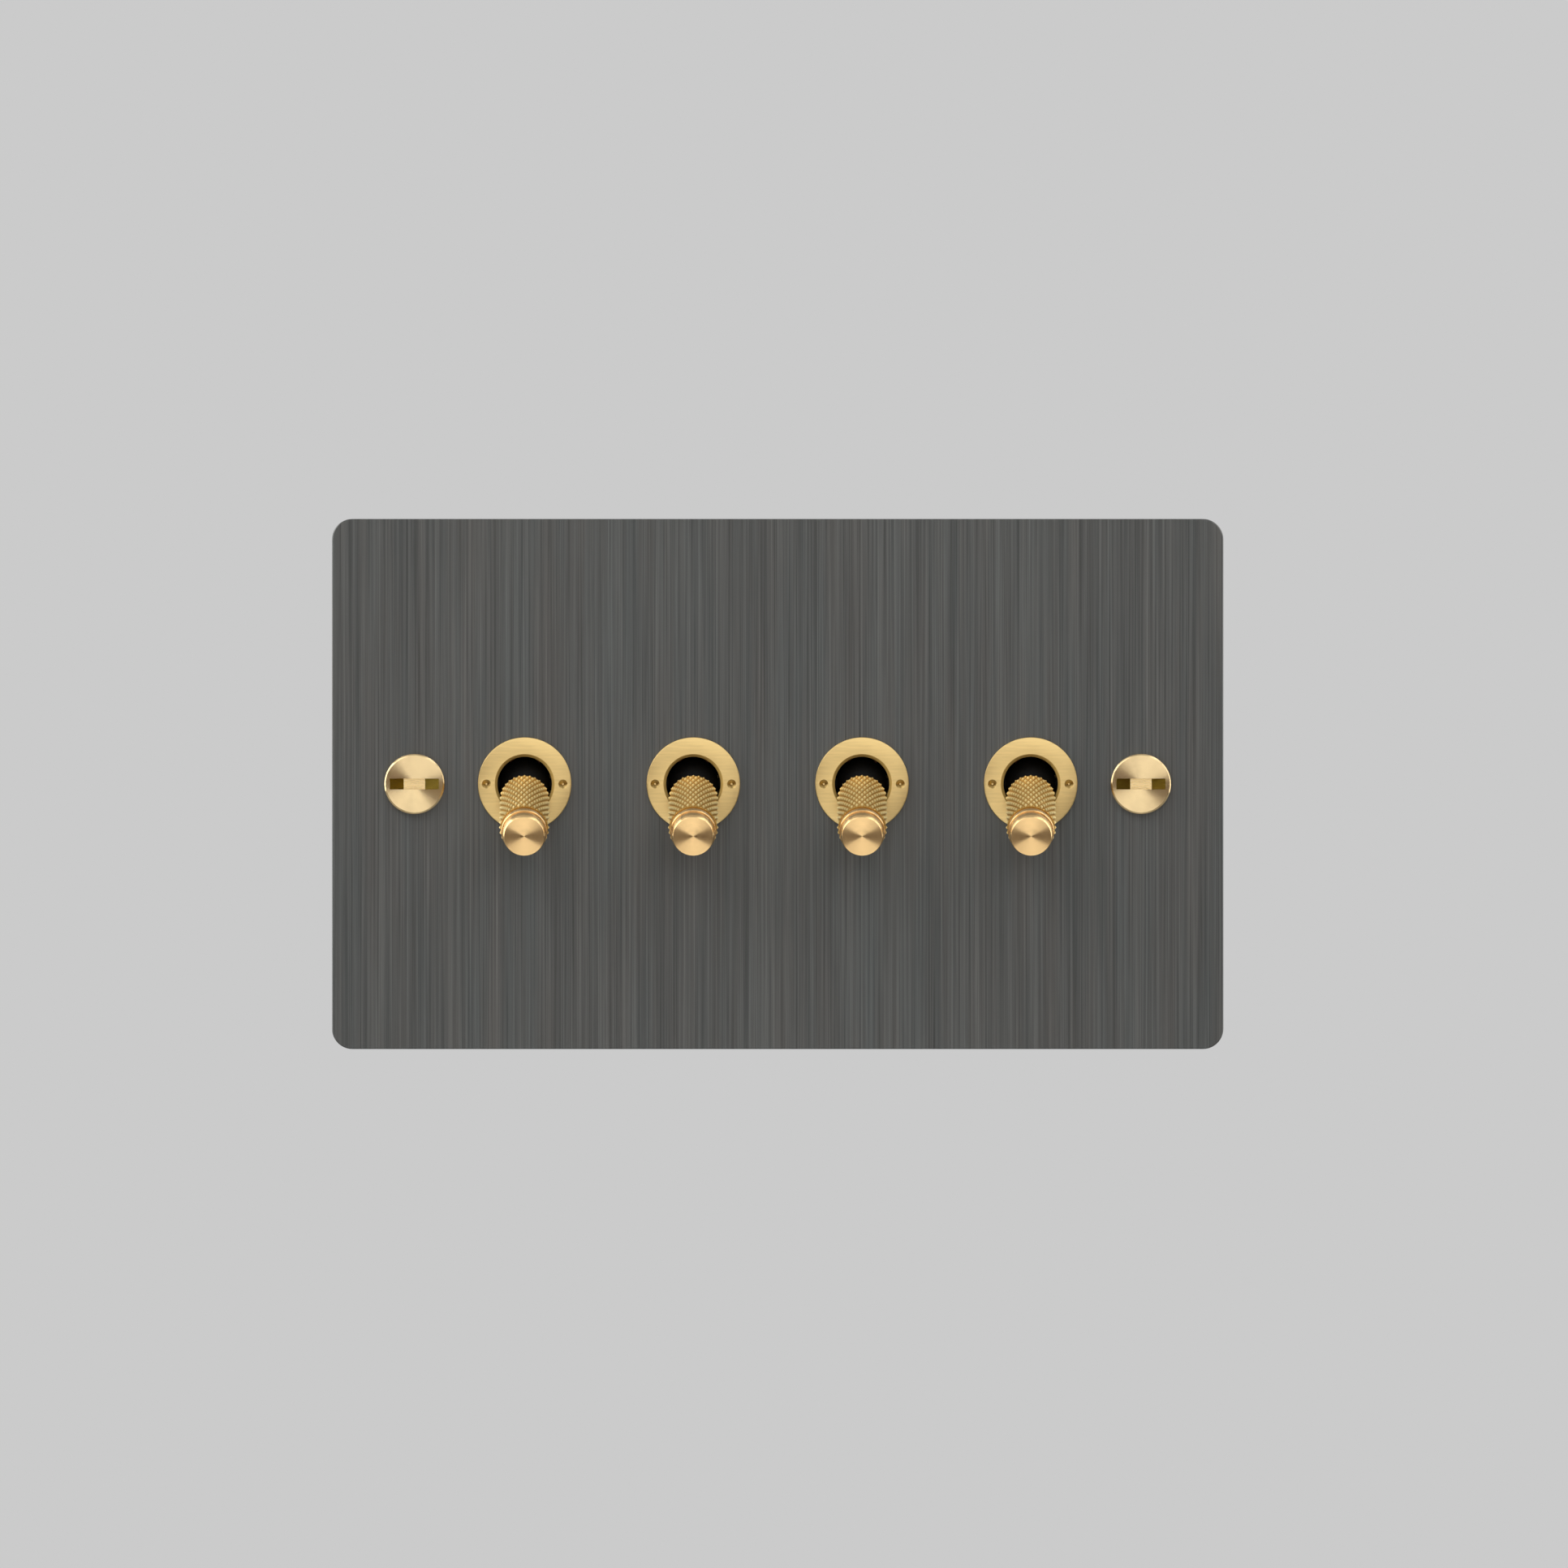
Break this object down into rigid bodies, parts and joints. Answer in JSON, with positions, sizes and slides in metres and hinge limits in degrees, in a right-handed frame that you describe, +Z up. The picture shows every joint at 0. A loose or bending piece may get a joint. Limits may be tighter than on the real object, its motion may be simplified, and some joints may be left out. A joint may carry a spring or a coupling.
{
  "type": "toggle wall switch",
  "caption": "Flat double wall plate with knurled toggle levers in ring collars, slotted fixing screws and switch modules behind.",
  "frame": {"origin": "centre of the plate's back face, on the wall plane", "axes": "+Z up the wall, +X to the right seen from the front, +Y into the wall; the levers point along -Y"},
  "size_m": [0.148, 0.051, 0.088],
  "materials": {
    "dark_plate": "dark bronzed, brushed vertically",
    "satin_brass": "satin, turned and knurled",
    "terminal_brass": "plain machined",
    "black_nylon": "matt moulded",
    "moulded_black": "fine spark texture",
    "fibre": "red vulcanised fibre",
    "copper": "rolled copper with silver rivets",
    "steel": "zinc plated"
  },
  "bodies": {
    "root": {"collar_1": "satin_brass", "collar_2": "satin_brass", "collar_3": "satin_brass", "collar_4": "satin_brass", "common_terminal_1": "terminal_brass", "common_terminal_2": "terminal_brass", "common_terminal_3": "terminal_brass", "common_terminal_4": "terminal_brass", "earth_screw": "steel", "earth_terminal": "terminal_brass", "face_plate": "dark_plate", "fixing_screw_left": "satin_brass", "fixing_screw_right": "satin_brass", "housing_screws": "steel", "lower_terminal_1": "terminal_brass", "lower_terminal_2": "terminal_brass", "lower_terminal_3": "terminal_brass", "lower_terminal_4": "terminal_brass", "module_cover_1": "moulded_black", "module_cover_2": "moulded_black", "module_cover_3": "moulded_black", "module_cover_4": "moulded_black", "module_housing_1": "moulded_black", "module_housing_2": "moulded_black", "module_housing_3": "moulded_black", "module_housing_4": "moulded_black", "pivot_pins": "steel", "rear_liner": "moulded_black", "screw_retainers": "fibre", "terminal_screws": "steel", "upper_terminal_1": "terminal_brass", "upper_terminal_2": "terminal_brass", "upper_terminal_3": "terminal_brass", "upper_terminal_4": "terminal_brass"},
    "lever_1": {"dolly_1": "black_nylon", "grip_1": "satin_brass", "grip_cap_1": "satin_brass", "spring_1": "steel"},
    "plunger_1": {"plunger_1": "steel"},
    "rocker_1": {"rocker_1": "copper"},
    "lever_2": {"dolly_2": "black_nylon", "grip_2": "satin_brass", "grip_cap_2": "satin_brass", "spring_2": "steel"},
    "plunger_2": {"plunger_2": "steel"},
    "rocker_2": {"rocker_2": "copper"},
    "lever_3": {"dolly_3": "black_nylon", "grip_3": "satin_brass", "grip_cap_3": "satin_brass", "spring_3": "steel"},
    "plunger_3": {"plunger_3": "steel"},
    "rocker_3": {"rocker_3": "copper"},
    "lever_4": {"dolly_4": "black_nylon", "grip_4": "satin_brass", "grip_cap_4": "satin_brass", "spring_4": "steel"},
    "plunger_4": {"plunger_4": "steel"},
    "rocker_4": {"rocker_4": "copper"}
  },
  "joints": [
    {"name": "lever_1_flip", "type": "hinge", "parent": "root", "child": "lever_1", "pos_m": [-0.042, 0.0033, 0], "axis": [-1, 0, 0], "range_deg": [0, 34]},
    {"name": "plunger_1_slide", "type": "slide", "parent": "lever_1", "child": "plunger_1", "axis": [0, 0.9563, 0.2924], "range_m": [0, 0.0008], "stiffness_N_per_m": 300, "springref_m": 0.002},
    {"name": "rocker_1_tip", "type": "hinge", "parent": "root", "child": "rocker_1", "pos_m": [-0.042, 0.01375, 0], "axis": [1, 0, 0], "range_deg": [0, 17]},
    {"name": "lever_2_flip", "type": "hinge", "parent": "root", "child": "lever_2", "pos_m": [-0.014, 0.0033, 0], "axis": [-1, 0, 0], "range_deg": [0, 34]},
    {"name": "plunger_2_slide", "type": "slide", "parent": "lever_2", "child": "plunger_2", "axis": [0, 0.9563, 0.2924], "range_m": [0, 0.0008], "stiffness_N_per_m": 300, "springref_m": 0.002},
    {"name": "rocker_2_tip", "type": "hinge", "parent": "root", "child": "rocker_2", "pos_m": [-0.014, 0.01375, 0], "axis": [1, 0, 0], "range_deg": [0, 17]},
    {"name": "lever_3_flip", "type": "hinge", "parent": "root", "child": "lever_3", "pos_m": [0.014, 0.0033, 0], "axis": [-1, 0, 0], "range_deg": [0, 34]},
    {"name": "plunger_3_slide", "type": "slide", "parent": "lever_3", "child": "plunger_3", "axis": [0, 0.9563, 0.2924], "range_m": [0, 0.0008], "stiffness_N_per_m": 300, "springref_m": 0.002},
    {"name": "rocker_3_tip", "type": "hinge", "parent": "root", "child": "rocker_3", "pos_m": [0.014, 0.01375, 0], "axis": [1, 0, 0], "range_deg": [0, 17]},
    {"name": "lever_4_flip", "type": "hinge", "parent": "root", "child": "lever_4", "pos_m": [0.042, 0.0033, 0], "axis": [-1, 0, 0], "range_deg": [0, 34]},
    {"name": "plunger_4_slide", "type": "slide", "parent": "lever_4", "child": "plunger_4", "axis": [0, 0.9563, 0.2924], "range_m": [0, 0.0008], "stiffness_N_per_m": 300, "springref_m": 0.002},
    {"name": "rocker_4_tip", "type": "hinge", "parent": "root", "child": "rocker_4", "pos_m": [0.042, 0.01375, 0], "axis": [1, 0, 0], "range_deg": [0, 17]}
  ],
  "couplings": [
    {"joint": "rocker_1_tip", "follows": "lever_1_flip", "ratio": 0.5},
    {"joint": "rocker_2_tip", "follows": "lever_2_flip", "ratio": 0.5},
    {"joint": "rocker_3_tip", "follows": "lever_3_flip", "ratio": 0.5},
    {"joint": "rocker_4_tip", "follows": "lever_4_flip", "ratio": 0.5}
  ]
}
